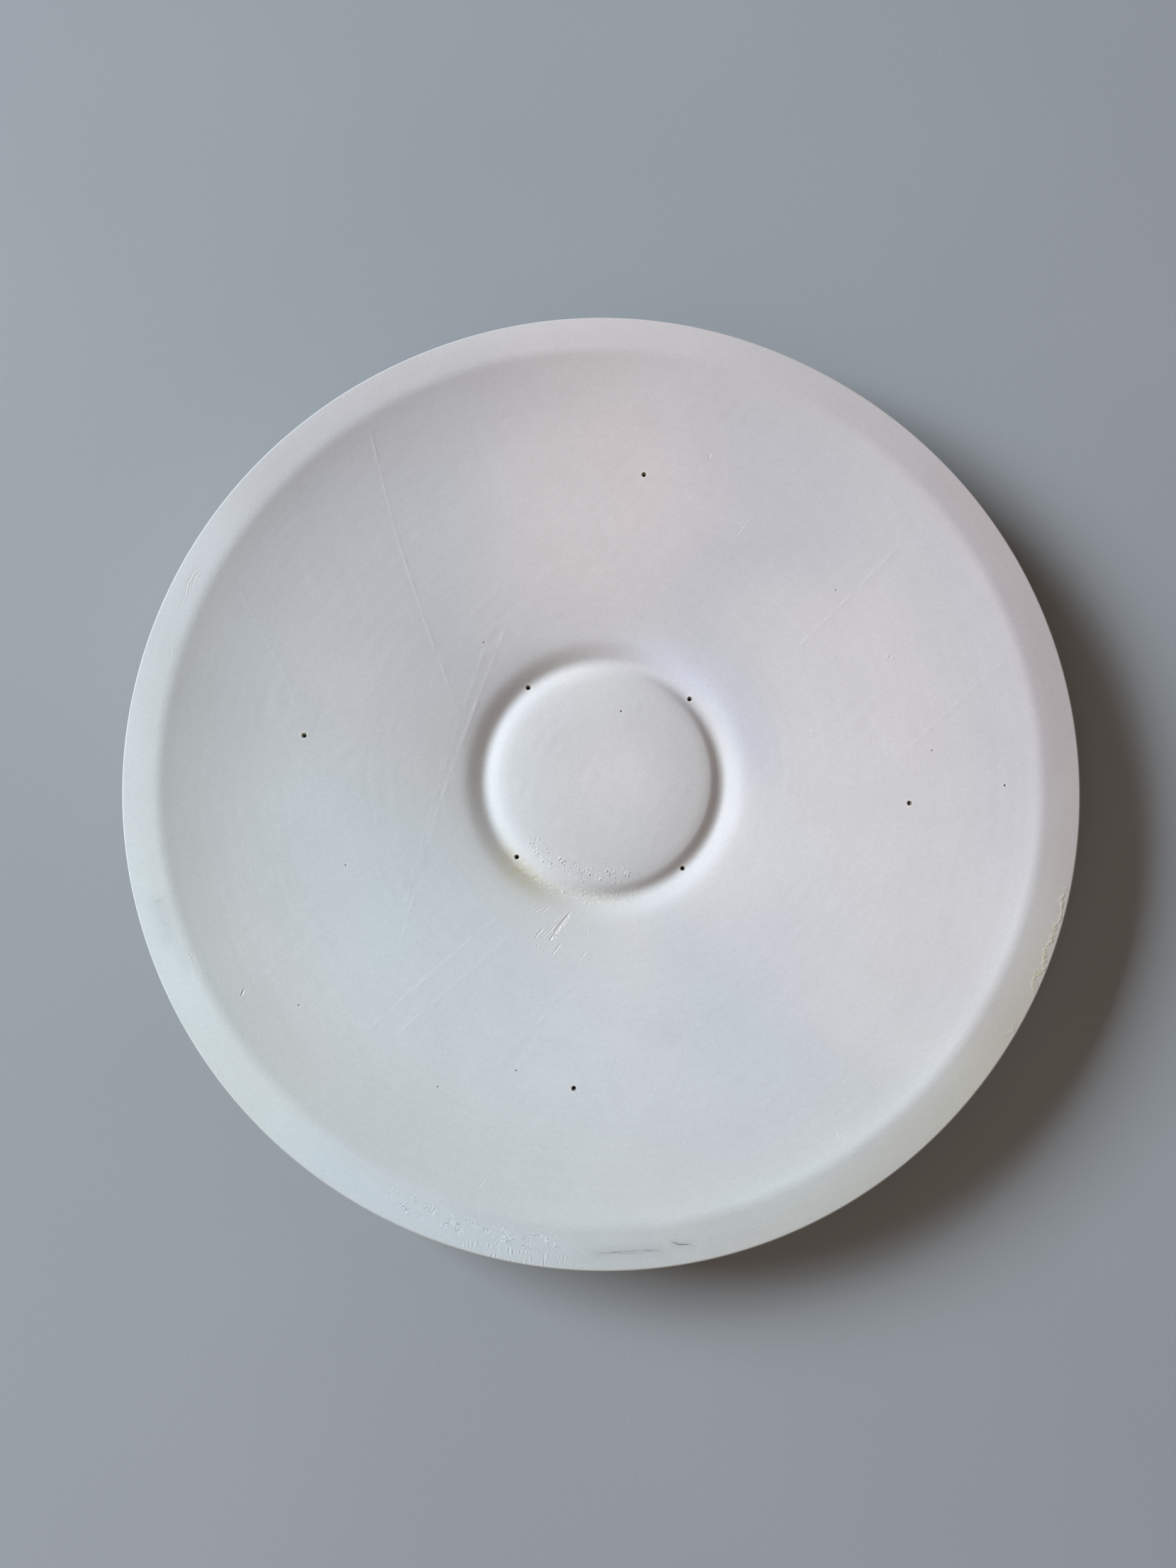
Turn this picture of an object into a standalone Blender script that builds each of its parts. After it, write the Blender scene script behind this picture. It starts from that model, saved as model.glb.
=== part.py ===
"""A round slumping mould: a dished ceramic body with a ring groove and vents, and its release wash.

Metres, +Z up. The origin is on the shelf, under the middle of the mould.
"""

import math

import bmesh
import bpy
import numpy as np
from mathutils import Matrix

# Driving dimensions.
OUTER_RADIUS = 0.250
RIM_EDGE_HEIGHT = 0.040  # of the face's outer edge over the shelf
WALL = 0.013  # height of the ceramic under the face
WASH = 0.0005  # thickness of the release wash
GAP = 0.0003  # between the wash and the ceramic

# The face's slope along a radius: share of the outer radius, degrees, positive where it rises outward.
FACE_SLOPES = (
    (0.000, 0.0),
    (0.060, 0.0),  # flat middle of the pad
    (0.140, -2.6),
    (0.205, -6.8),  # shoulder of the pad
    (0.222, -14.0),
    (0.234, -28.0),  # inner flank of the groove
    (0.243, -30.0),
    (0.266, 25.5),  # outer flank of the groove
    (0.276, 26.0),
    (0.288, 22.5),
    (0.300, 14.5),
    (0.307, 11.0),
    (0.320, 8.4),
    (0.350, 6.8),
    (0.400, 5.7),  # the dish
    (0.550, 4.3),
    (0.700, 5.1),
    (0.800, 6.8),
    (0.870, 8.9),
    (0.908, 10.8),
    (0.930, -4.2),  # past the crest, the rim band
    (0.960, -5.5),
    (1.000, -7.0),
)
SLOPE_BLEND = 0.0022 * OUTER_RADIUS  # width over which one slope passes into the next
FACE_STEP = 0.0001  # of the radius, when the slopes are added up to heights
FACE_POINTS = 23  # along a radius of the turned face, outside the pad's flat middle
EVEN_SPREAD = 4.0  # how far the points keep to even spacing rather than to the turns of the face
PAD_FLAT_RADIUS = 0.055 * OUTER_RADIUS
TURN_STEPS = 64  # round a turned piece

EDGE_ROUND = 0.001  # radius of the rim's upper edge
EDGE_ROUND_POINTS = 3
WASH_SKIRT = 0.006  # how far the wash reaches down the outer wall

LOWER_EDGE_RISE = 0.002  # of the outer wall's foot over the underside
LOWER_EDGE_INSET = 0.004
UNDERSIDE_POINTS = 12  # along a radius, from the outer wall to the foot ring
FOOT_OUTER = 0.116  # the cast ring that the mould stands on
FOOT_INNER = 0.102
FOOT_DRAFT = 0.002
FOOT_CHAMFER = 0.001
RECESS_RADIUS = 0.072  # of the flat underside in the middle, under the pad and the groove
RECESS_HEIGHT = 0.011
BREATHER_COUNT = 4  # round notches through the foot ring, so that the vents can breathe
BREATHER_RADIUS = 0.0038
BREATHER_SIDES = 16
BREATHER_TURN = math.radians(20)
BREATHER_OVERRUN = 0.015  # past the foot ring on each side

VENT_BORE_RADIUS = 0.0009  # drilled through the ceramic
VENT_MOUTH_RADIUS = 0.0012  # where the wash is rubbed away round the bore
VENT_SIDES = 12
DRILL_BOTTOM = -0.01
DRILL_TOP = RIM_EDGE_HEIGHT + 0.02
# The vents were drilled by hand: angle in degrees and distance as a share of the outer radius.
GROOVE_VENTS = ((42.6, 0.2547), (129.1, 0.2547), (222.4, 0.2547), (311.5, 0.2547))
DISH_VENTS = ((82.3, 0.661), (172.3, 0.635), (264.5, 0.646), (354.9, 0.647))


def clear_scene():
    for obj in list(bpy.data.objects):
        bpy.data.objects.remove(obj)


def collection(name):
    made = bpy.data.collections.new(name)
    bpy.context.scene.collection.children.link(made)
    return made


def material(name, color, roughness):
    made = bpy.data.materials.new(name)
    made.use_nodes = True
    made.diffuse_color = (*color, 1.0)
    shader = made.node_tree.nodes["Principled BSDF"]
    shader.inputs["Base Color"].default_value = (*color, 1.0)
    shader.inputs["Roughness"].default_value = roughness
    shader.inputs["Metallic"].default_value = 0.0
    return made


def face_tables():
    """Radii, slopes in radians and heights of the washed face, from the middle to the outer edge."""
    radii = np.arange(0.0, OUTER_RADIUS + FACE_STEP / 2, FACE_STEP)
    shares, degrees = zip(*FACE_SLOPES)
    slopes = np.interp(radii / OUTER_RADIUS, shares, np.radians(degrees))
    reach = int(3 * SLOPE_BLEND / FACE_STEP)
    weights = np.exp(-0.5 * (np.arange(-reach, reach + 1) * FACE_STEP / SLOPE_BLEND) ** 2)
    slopes = np.convolve(np.pad(slopes, reach, mode="edge"), weights / weights.sum(), mode="valid")
    rises = np.tan((slopes[1:] + slopes[:-1]) / 2) * FACE_STEP
    heights = np.concatenate(([0.0], np.cumsum(rises)))
    return radii, slopes, heights + RIM_EDGE_HEIGHT - heights[-1]


RADII, SLOPES, HEIGHTS = face_tables()


def face_height(radius):
    return float(np.interp(radius, RADII, HEIGHTS))


def spaced_radii(inner, outer, count):
    """Radii between two limits, closer together where the face turns more."""
    turning = np.abs(np.gradient(SLOPES, RADII)) + EVEN_SPREAD
    inside = (RADII >= inner) & (RADII <= outer)
    amount = np.cumsum(np.where(inside, turning, 0.0))
    wanted = np.linspace(amount[inside][0], amount[inside][-1], count)
    radii = np.interp(wanted, amount[inside], RADII[inside])
    radii[0] = inner
    radii[-1] = outer
    return radii


def face_line(depth):
    """Points of the face, sunk by depth along its normal, from the axis to the edge's rounding."""
    points = [(0.0, face_height(0.0) - depth)]
    for radius in spaced_radii(PAD_FLAT_RADIUS, OUTER_RADIUS - EDGE_ROUND, FACE_POINTS):
        slope = float(np.interp(radius, RADII, SLOPES))
        points.append((radius + depth * math.sin(slope), face_height(radius) - depth * math.cos(slope)))
    return points


def edge_line(depth, bottom):
    """The rounded upper edge of the rim and its outer wall down to bottom, sunk by depth."""
    start_slope = float(np.interp(OUTER_RADIUS - EDGE_ROUND, RADII, SLOPES))
    centre_radius = OUTER_RADIUS - EDGE_ROUND
    centre_height = face_height(centre_radius) - EDGE_ROUND * math.cos(start_slope)
    centre_radius += EDGE_ROUND * math.sin(start_slope)
    reach = OUTER_RADIUS - centre_radius
    points = []
    first = math.pi / 2 + start_slope
    for step in range(1, EDGE_ROUND_POINTS + 1):
        angle = first * (1 - step / EDGE_ROUND_POINTS)
        along = reach + (EDGE_ROUND - reach) * math.sin(angle)
        radius = centre_radius + (along - depth) * math.cos(angle)
        points.append((radius, centre_height + (EDGE_ROUND - depth) * math.sin(angle)))
    points.append((OUTER_RADIUS - depth, bottom))
    return points


def turned(name, outline, home, finish):
    """A closed turned piece from an outline that starts at the top of the axis and ends under it."""
    mesh = bpy.data.meshes.new(name)
    points = [(radius, 0.0, height) for radius, height in outline]
    mesh.from_pydata(points, [(i, i + 1) for i in range(len(points) - 1)], [])
    piece = bpy.data.objects.new(name, mesh)
    home.objects.link(piece)
    screw = piece.modifiers.new("turn", "SCREW")
    screw.axis = "Z"
    screw.angle = 2 * math.pi
    screw.steps = TURN_STEPS
    screw.render_steps = TURN_STEPS
    screw.use_merge_vertices = True
    screw.merge_threshold = 0.0001
    screw.use_smooth_shade = True
    mesh.materials.append(finish)
    return piece


def vent_places():
    for degrees, share in GROOVE_VENTS + DISH_VENTS:
        angle = math.radians(degrees)
        yield share * OUTER_RADIUS * math.cos(angle), share * OUTER_RADIUS * math.sin(angle)


def vent_cutter(name, radius, home):
    """One mesh of eight separate upright drills."""
    mesh = bpy.data.meshes.new(name)
    shape = bmesh.new()
    for x, y in vent_places():
        made = bmesh.ops.create_cone(
            shape,
            cap_ends=True,
            segments=VENT_SIDES,
            radius1=radius,
            radius2=radius,
            depth=DRILL_TOP - DRILL_BOTTOM,
        )
        bmesh.ops.translate(shape, vec=(x, y, (DRILL_TOP + DRILL_BOTTOM) / 2), verts=made["verts"])
    shape.to_mesh(mesh)
    shape.free()
    return cutter(name, mesh, home)


def breather_cutter(home):
    """Round bars lying across the foot ring, which leave its half-round notches."""
    length = FOOT_OUTER - FOOT_INNER + 2 * BREATHER_OVERRUN
    middle = (FOOT_OUTER + FOOT_INNER) / 2
    mesh = bpy.data.meshes.new("breather_bars")
    shape = bmesh.new()
    for index in range(BREATHER_COUNT):
        turn = BREATHER_TURN + 2 * math.pi * index / BREATHER_COUNT
        made = bmesh.ops.create_cone(
            shape,
            cap_ends=True,
            segments=BREATHER_SIDES,
            radius1=BREATHER_RADIUS,
            radius2=BREATHER_RADIUS,
            depth=length,
        )
        bmesh.ops.transform(shape, matrix=laid_along(turn), verts=made["verts"])
        away = (middle * math.cos(turn), middle * math.sin(turn), 0.0)
        bmesh.ops.translate(shape, vec=away, verts=made["verts"])
    shape.to_mesh(mesh)
    shape.free()
    return cutter("breather_bars", mesh, home)


def laid_along(turn):
    """Lays an upright bar down along a radius of the mould."""
    return Matrix.Rotation(turn, 4, "Z") @ Matrix.Rotation(math.pi / 2, 4, "Y")


def cutter(name, mesh, home):
    made = bpy.data.objects.new(name, mesh)
    home.objects.link(made)
    made.hide_render = True
    made.display_type = "WIRE"
    return made


def cut(piece, tool):
    boolean = piece.modifiers.new(tool.name, "BOOLEAN")
    boolean.operation = "DIFFERENCE"
    boolean.solver = "EXACT"
    boolean.object = tool


def underside_line():
    """The ceramic's underside from the outer wall inward, parallel to the face as far as the foot."""
    points = []
    inner = FOOT_OUTER + FOOT_DRAFT
    outer = OUTER_RADIUS - LOWER_EDGE_INSET
    for radius in reversed(spaced_radii(inner, outer, UNDERSIDE_POINTS)):
        points.append((radius, face_height(radius) - WALL))
    points.append((FOOT_OUTER, FOOT_CHAMFER))
    points.append((FOOT_OUTER - FOOT_CHAMFER, 0.0))
    points.append((FOOT_INNER + FOOT_CHAMFER, 0.0))
    points.append((FOOT_INNER, FOOT_CHAMFER))
    points.append((FOOT_INNER - FOOT_DRAFT, face_height(FOOT_INNER) - WALL))
    points.append((RECESS_RADIUS, RECESS_HEIGHT))
    points.append((0.0, RECESS_HEIGHT))
    return points


def mould_body(home, cutters):
    """The fired ceramic casting."""
    depth = WASH + GAP
    bottom = face_height(OUTER_RADIUS) - WALL + LOWER_EDGE_RISE
    outline = face_line(depth) + edge_line(depth, bottom) + underside_line()
    finish = material("bisque", (0.80, 0.74, 0.62), 0.85)
    body = turned("mould_body", outline, home, finish)
    cut(body, vent_cutter("vent_drills", VENT_BORE_RADIUS, cutters))
    cut(body, breather_cutter(cutters))
    return body


def wash_coat(home, cutters):
    """The brushed release wash over the face and the rim's edge."""
    bottom = RIM_EDGE_HEIGHT - WASH_SKIRT
    outside = face_line(0.0) + edge_line(0.0, bottom)
    inside = face_line(WASH) + edge_line(WASH, bottom)
    finish = material("release_wash", (0.86, 0.87, 0.88), 0.95)
    coat = turned("wash_coat", outside + inside[::-1], home, finish)
    cut(coat, vent_cutter("mouth_drills", VENT_MOUTH_RADIUS, cutters))
    return coat


def main():
    clear_scene()
    parts = collection("slumping_mould")
    cutters = collection("cutters")
    cutters.hide_render = True
    mould_body(parts, cutters)
    wash_coat(parts, cutters)


main()
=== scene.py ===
import math

import bmesh
import bpy
import numpy as np
from mathutils import Matrix, Vector
from mathutils.geometry import delaunay_2d_cdt


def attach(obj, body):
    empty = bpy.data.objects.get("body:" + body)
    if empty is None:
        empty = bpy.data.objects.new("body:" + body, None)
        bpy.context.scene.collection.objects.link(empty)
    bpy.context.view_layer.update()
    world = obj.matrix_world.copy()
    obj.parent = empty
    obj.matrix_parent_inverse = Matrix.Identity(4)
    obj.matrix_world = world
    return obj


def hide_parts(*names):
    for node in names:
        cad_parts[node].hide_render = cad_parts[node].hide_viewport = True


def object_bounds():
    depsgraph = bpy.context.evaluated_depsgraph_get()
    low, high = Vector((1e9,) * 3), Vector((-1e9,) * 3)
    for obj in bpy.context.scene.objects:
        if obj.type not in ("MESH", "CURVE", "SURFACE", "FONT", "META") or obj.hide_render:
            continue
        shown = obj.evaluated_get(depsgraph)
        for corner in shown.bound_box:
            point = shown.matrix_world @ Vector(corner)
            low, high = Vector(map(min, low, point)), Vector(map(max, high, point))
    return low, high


# The looks of a round slumping mould: a brushed chalky wash with laps, scratches, pocks, ribbons and
# vents over bare ceramic. Lengths are in millimetres until a mesh is made.

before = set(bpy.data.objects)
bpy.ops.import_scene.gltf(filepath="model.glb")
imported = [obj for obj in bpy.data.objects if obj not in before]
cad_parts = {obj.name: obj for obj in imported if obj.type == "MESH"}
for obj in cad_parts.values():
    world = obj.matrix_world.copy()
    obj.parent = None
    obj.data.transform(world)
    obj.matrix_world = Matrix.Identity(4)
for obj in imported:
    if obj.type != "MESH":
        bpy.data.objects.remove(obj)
CAD_LOW, CAD_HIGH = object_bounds()

MM = 0.001
OUTER_RADIUS = (CAD_HIGH.x - CAD_LOW.x) / 2 / MM
RIM_EDGE_HEIGHT = 40.0  # of the face's outer edge over the shelf
WALL = 13.0
WASH = 0.5
GAP = 0.3
EDGE_ROUND = 1.0
EDGE_STEPS = 7
WALL_STEPS = 6
WASH_SKIRT = 6.0
LOWER_EDGE_RISE = 2.0
LOWER_EDGE_INSET = 4.0
FOOT_OUTER = 116.0
FOOT_INNER = 102.0
FOOT_DRAFT = 2.0
RECESS_RADIUS = 72.0
RECESS_HEIGHT = 11.0
BREATHER_RADIUS = 3.8
BREATHER_TURN = 20.0
BREATHER_REACH = 22.0
CHAMFER, CHAMFER_MID = 1.2, 0.4  # broken outer corners
COVE, COVE_MID = 2.2, 0.7  # soft inner corners
UNDER_STEP = 2.5
CERAMIC_TURNS = 320
SHARP_ANGLE = 32

# The face's slope along a radius: share of the outer radius, degrees, positive where it rises outward.
FACE_SLOPES = (
    (0.000, 0.0), (0.060, 0.0), (0.140, -2.6), (0.205, -6.8), (0.222, -14.0),
    (0.234, -28.0), (0.243, -30.0), (0.266, 25.5), (0.276, 26.0), (0.288, 22.5),
    (0.300, 14.5), (0.307, 11.0), (0.320, 8.4), (0.350, 6.8), (0.400, 5.7),
    (0.550, 4.3), (0.700, 5.1), (0.800, 6.8), (0.870, 8.9), (0.908, 10.8),
    (0.930, -4.2), (0.960, -5.5), (1.000, -7.0),
)
SLOPE_BLEND = 0.0022 * OUTER_RADIUS  # how far the slopes are smoothed along a radius
FACE_STEP = 0.1
MIDDLE_POINT = (0.8, -0.4)

# The groove and the crest aren't quite round the rim's middle: share of the radius, shift in X and in Y.
SHIFTS = (
    (0.0, 1.6, -0.3), (0.225, 1.5, -0.3), (0.245, 0.6, -0.3), (0.4, 0.6, -0.3),
    (0.86, -1.1, 1.4), (0.94, -1.1, 1.4), (1.0, 0.0, 0.0),
)
# The rim is a little out of round: waves in a turn, height as a share of the radius, degrees of the peak.
WAVES = ((3, 0.0005, -51.0), (4, 0.0004, 0.0), (5, 0.0004, 12.0), (6, 0.0003, -27.0), (7, 0.0003, -18.0))

# Vents, drilled by hand: X and Y of the middle.
VENTS = (
    (-40.3, 49.6), (47.2, 43.5), (-46.0, -42.0), (42.5, -48.1),
    (22.4, 164.3), (-157.8, 21.6), (161.5, -14.3), (-15.6, -161.1),
)
VENT_MOUTH = 1.25
VENT_THROAT = 0.95
VENT_BORE = 0.9
VENT_SIDES = 24
VENT_RINGS = (1.55, 1.9, 2.3, 2.8, 3.5, 4.4)
VENT_REACH = 4.9  # no other points of the face come nearer
VENT_REACH_HIDDEN = 3.4
VENT_LIP = (0.07, 1.7, 0.45)  # height, radius and half width of the raised wash round a mouth
VENT_BEVEL = (0.10, 0.30)

# Laps where one stroke of wash dried over another: height, half width, points.
LAPS = (
    (0.038, 0.75, ((-126.4, 192.7), (-110.8, 130.8), (-96.3, 86.3), (-78.1, 38.5))),
    (0.022, 0.9, ((-193.6, 101.2), (-166.7, 50.9), (-158.7, 27.3))),
    (0.028, 0.9, ((-47.7, 93.8), (-68, 38.7), (-87.6, -16.1), (-100.2, -59.8))),
    (0.020, 1, ((-55.7, 92), (-77, 30), (-94, -30), (-106, -78))),
    (0.018, 1, ((-61, 60), (-80, 8), (-101, -70), (-108, -98))),
    (0.026, 1, ((160.8, 125.2), (102.8, 67.6))),
    (0.024, 1, ((215.7, 63.9), (158.7, 12.1))),
    (0.022, 0.9, ((-47, -66.5), (-84, -98), (-124.5, -134.7))),
    (0.020, 1, ((-38, -74), (-76, -108), (-110, -137))),
    (0.016, 1.1, ((-10, -110), (-48, -139))),
    (0.018, 1, ((-178.2, -16.7), (-163, -36.6))),
    (0.016, 1.2, ((96, 22), (99, 2), (95, -18))),
    (0.014, 1.2, ((-70, 175), (-52, 120))),
)
# Every lap is raised by this factor.
LAP_LIFT = 1.7
# Rows of points across a lap, in half widths, and across a pencil line, in millimetres.
LAP_ACROSS = (-3.2, -2.2, -1.5, -1.0, -0.5, 0.0, 0.5, 1.0, 1.5, 2.2, 3.2)
PENCIL_ACROSS = (-1.2, -0.7, -0.4, -0.2, 0.0, 0.2, 0.4, 0.7, 1.2)

# Scratches: depth, half width, how ragged the lower right side is, points.
SCRATCHES = (
    (0.20, 1.15, 0.55, ((-17.4, -71.4), (-20, -74.9), (-23.3, -79.1), (-29, -86.7))),
    (0.13, 0.55, 0.15, ((-31.4, -79.2), (-35.9, -84.4))),
    (0.13, 0.50, 0.10, ((-22.5, -87.5), (-27.2, -93.9))),
    (0.09, 0.40, 0.05, ((-8.7, -91.4), (-12.7, -95.7))),
    (0.10, 0.42, 0.05, ((-28.4, -68.3), (-32.6, -71.6))),
    (0.09, 0.38, 0.05, ((-32, -68.2), (-36.2, -71.4))),
    (0.09, 0.42, 0.05, ((-34.1, -88.1), (-35.4, -89.5))),
    (0.04, 0.20, 0.00, ((-9, -77.8), (-8, -87.9))),
    (0.06, 0.30, 0.10, ((-22, -72.4), (-26.4, -76.4))),
    (0.08, 0.34, 0.10, ((-24, -76.8), (-32.4, -85.2))),
    (0.08, 0.34, 0.10, ((-25.6, -80.2), (-31, -87.4))),
    (0.07, 0.30, 0.05, ((-27.4, -78), (-33.2, -84.2))),
    (0.13, 0.34, 0.10, ((57.3, 172.8), (59.2, 176.5))),
    (0.05, 0.25, 0.00, ((79.5, 140.4), (70, 128))),
    (0.20, 0.55, 0.10, ((-184, -110), (-185.6, -114))),
    (0.10, 0.25, 0.00, ((-212.9, -88.6), (-206.6, -101.5))),
    (0.08, 0.22, 0.00, ((-211.6, -88.8), (-205.4, -101.4))),
    (0.09, 0.28, 0.05, ((117, -182), (118.6, -185.4))),
    (0.07, 0.26, 0.05, ((119.6, -183), (121, -186))),
    (0.06, 0.25, 0.00, ((-60, -205), (-64.5, -209.5))),
)

# Cracks and a fold of the wash on the left of the rim: height, half width, points.
FOLDS = (
    (0.11, 0.40, ((-220.2, 92), (-218.9, 100.6), (-215.6, 107.4), (-211.2, 110.2))),
    (0.07, 0.32, ((-216.9, 96), (-214.7, 104.6), (-212.2, 108))),
    (0.06, 0.30, ((-222.9, 84), (-220.4, 93.6))),
    (0.05, 0.30, ((-225.2, 60), (-226.4, 68.6), (-225.4, 74))),
)

# Pin holes, painted near black inside as shade: X, Y and radius.
SPECKS = (
    (9.8, 35.9, 0.50), (210.5, -5.4, 0.55), (174.0, 13.7, 0.38),
    (125.2, 100.8, 0.34), (-135.0, -46.6, 0.34), (-45.2, -152.1, 0.36),
    (-85.1, -159.7, 0.34), (-156.5, -118.4, 0.36), (-64.0, 73.0, 0.36),
)
SPECK_DEPTH = 0.30
# Grains dried into the wash: X, Y, radius and height.
GRAINS = (
    (151.9, 64.4, 0.7, 0.16), (154.6, 63.6, 0.6, 0.14), (-60.5, 16.0, 2.4, 0.05),
    (-28.0, 21.0, 3.0, 0.05), (-18.0, 2.0, 2.6, 0.03),
)

# Loose ribbons of yellowed wash by the rim's edge: first and last degree, radius, half width, strength.
RIBBONS = ((-27.6, -13.2, 246.6, 1.25, 1.0), (-34.0, -30.2, 246.4, 0.8, 0.55))
RIBBON_LIFT = 0.10
RIBBON_TAPER = 1.5  # degrees at each end

# Brush strokes: height, degrees and their spread, spacing, seed, then the patches that they come in:
# mean, swing, size and seed.
DISH_STROKES = (
    (0.0070, 45, 12, 9, 13, 0.5, 0.5, 70, 14),
    (0.0065, -68, 10, 10, 15, 0.5, 0.5, 70, 16),
)
PAD_STROKES = (0.0095, 80, 24, 8, 17, 0.7, 0.5, 30, 20)
ROUND_STROKES = 0.0065
UNEVEN_FINE = 0.0050
UNEVEN_WIDE = 0.045
DISH_BAND = ((72, 92), (212, 222))
PAD_FADE = (44, 54)

# Where the rim is pocked and wrinkled, and where wash dried in granules.
POCK_X = ((-112, -104), (-26, -20))
POCK_BAND = ((233.5, 235.5), (242.0, 244.5))
POCK_RIDGE, POCK_PIT = 0.070, 0.065
WRINKLE_DEGREES = ((-108, -105), (-96, -93))
WRINKLE_START = (243.0, 244.5)
WRINKLE_HEIGHT = 0.07
GRANULE_DEGREES = ((-150, -130), (-80, -64))
LEDGE_BAND = ((46.8, 49.0), (55.0, 57.5))
LEDGE_GRANULES = 0.15
GROOVE_BAND = ((58.0, 60.5), (67.0, 69.5))
GROOVE_GRANULES = 0.05
CLOSEST_POINTS = 0.14
# Patches of closer points for them: inner and outer radius, first and last degree, spacing.
LAST_RADIUS = OUTER_RADIUS - EDGE_ROUND - 0.3
FINE_PATCHES = (
    (232.8, LAST_RADIUS, -118.0, -93.0, 0.5),
    (243.2, LAST_RADIUS, -36.0, -11.5, 0.36),
    (46.6, 58.5, -148.0, -66.0, 0.6),
    (58.6, 69.5, -148.0, -66.0, 0.75),
)

# Yellowing: strength, degrees and half width, radius and half width. Then a trail and the rim.
STAINS = (
    (0.60, -132, 19, 68, 7.0), (0.16, -118, 34, 72, 13), (0.18, 20, 22, 65, 3.6),
)
STAIN_TRAIL = 0.26
TRAIL_DEGREES = ((-165, -130), (-85, -60))
TRAIL_RADIUS = (63.5, 4.5)
STAIN_RIM = 0.45
STAIN_RIBBONS = 0.45

# Cloudy tints, partly the wash's own and partly painted light and shade: patches made lighter or darker,
# cooler or warmer, where the light falls unevenly. Degrees and half width, radius and half width, change of
# red, green and blue in percent.
TINT_AND_LIGHT_CLOUDS = (
    (58, 20, 150, 85, (-12, -10, -5)),
    (92, 20, 160, 80, (5, 0, 0)),
    (140, 24, 150, 85, (-9, -10, -5)),
    (215, 35, 150, 85, (0, 6, 12)),
    (268, 25, 150, 85, (0, 3, 7)),
    (300, 18, 150, 85, (-9, -4, 1)),
    (330, 25, 150, 85, (0, 2, 4)),
    (10, 30, 215, 25, (-9, -7, -3)),
    (20, 30, 82, 16, (-12, -9, -2)),
    (120, 22, 225, 35, (-9, -10, -8)),
    (215, 30, 240, 22, (3, 6, 6)),
    (310, 30, 242, 20, (4, 6, 4)),
    (210, 20, 200, 40, (8, 4, 2)),
    (15, 30, 243, 16, (-3, -9, -8)),
    (130, 25, 243, 14, (-5, -8, -9)),
    (245, 28, 243, 14, (1, 6, 12)),
    (315, 30, 232, 10, (6, 8, 10)),
    (65, 25, 73, 10, (5, 7, 14)),
    (240, 28, 60, 6, (8, 9, 13)),
)
PAD_TINT = (8, 6, 6)
PAD_TINT_RADIUS = 43

# Graphite: strength, half width of the line, strength and half width of the haze beside it, points.
PENCIL = (
    (0.55, 0.28, 0.14, 2.6, ((-4.5, -240.9), (5.8, -240.2), (16.4, -239.6), (28, -239.4))),
    (0.30, 0.25, 0.10, 2, ((6, -241.2), (19, -240.7))),
    (0.85, 0.28, 0.14, 2.2, ((33.5, -235.3), (37, -236.6), (43, -236.6))),
    (0.55, 0.22, 0.00, 1, ((-230.4, -66), (-224.6, -63.4))),
    (0.45, 0.22, 0.00, 1, ((-229.2, -73.8), (-222, -78.4))),
    (0.00, 0.22, 0.15, 5.5, ((-228, -67), (-223, -84))),
    (0.00, 0.22, 0.10, 3, ((-220, -84), (-213, -98))),
    (0.00, 0.22, 0.05, 5, ((31, -131), (34, -133))),
)


def face_tables():
    """Radii, slopes in radians and heights of the washed face, from the middle to the outer edge."""
    radii = np.arange(0.0, OUTER_RADIUS + FACE_STEP / 2, FACE_STEP)
    shares, degrees = zip(*FACE_SLOPES)
    slopes = np.interp(radii / OUTER_RADIUS, shares, np.radians(degrees))
    reach = int(3 * SLOPE_BLEND / FACE_STEP)
    weights = np.exp(-0.5 * (np.arange(-reach, reach + 1) * FACE_STEP / SLOPE_BLEND) ** 2)
    slopes = np.convolve(np.pad(slopes, reach, mode="edge"), weights / weights.sum(), mode="valid")
    rises = np.tan((slopes[1:] + slopes[:-1]) / 2) * FACE_STEP
    heights = np.concatenate(([0.0], np.cumsum(rises)))
    return radii, slopes, heights + RIM_EDGE_HEIGHT - heights[-1]


RADII, SLOPES, HEIGHTS = face_tables()


def smooth_step(low, high, value):
    share = np.clip((value - low) / (high - low), 0.0, 1.0)
    return share * share * (3 - 2 * share)


def band(value, rise, fall):
    """1 between two soft edges, each given by its start and its end."""
    return smooth_step(*rise, value) * (1 - smooth_step(*fall, value))


def bell(value, wide, power=2):
    """1 at zero, and nearly nothing past twice the width."""
    return np.exp(-((value / wide) ** power))


def shift(radius):
    shares, x, y = zip(*SHIFTS)
    return np.interp(radius / OUTER_RADIUS, shares, x), np.interp(radius / OUTER_RADIUS, shares, y)


def swell(radius, angle):
    amount = sum(h * np.cos(k * (angle - math.radians(peak))) for k, h, peak in WAVES)
    return 1 + amount * smooth_step(0.8, 1.0, radius / OUTER_RADIUS)


def place(radius, angle):
    """X and Y of a point of the turned profile."""
    x, y = shift(radius)
    wide = radius * swell(radius, angle)
    return x + wide * np.cos(angle), y + wide * np.sin(angle)


def profile_radius(x, y):
    """The radius on the turned profile of a point of the face."""
    radius = np.hypot(x, y)
    for _ in range(8):
        sx, sy = shift(radius)
        angle = np.arctan2(y - sy, x - sx)
        radius = np.hypot(x - sx, y - sy) / swell(radius, angle)
    return radius


def ripples(x, y, length, seed, count=10, middle=math.pi, spread=math.pi):
    """Random waves with a mean square of 1, within spread of one direction, or in all of them."""
    random = np.random.default_rng(seed)
    total = np.zeros(np.shape(x))
    for _ in range(count):
        turn = middle + random.uniform(-spread, spread)
        wave = math.tau / (length * random.uniform(0.7, 1.5))
        total += np.sin(wave * (x * math.cos(turn) + y * math.sin(turn)) + random.uniform(0, math.tau))
    return total * math.sqrt(2 / count)


def waver(along, length, seed):
    """Random waves along one line."""
    return ripples(along, 0 * along, length, seed)


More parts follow.
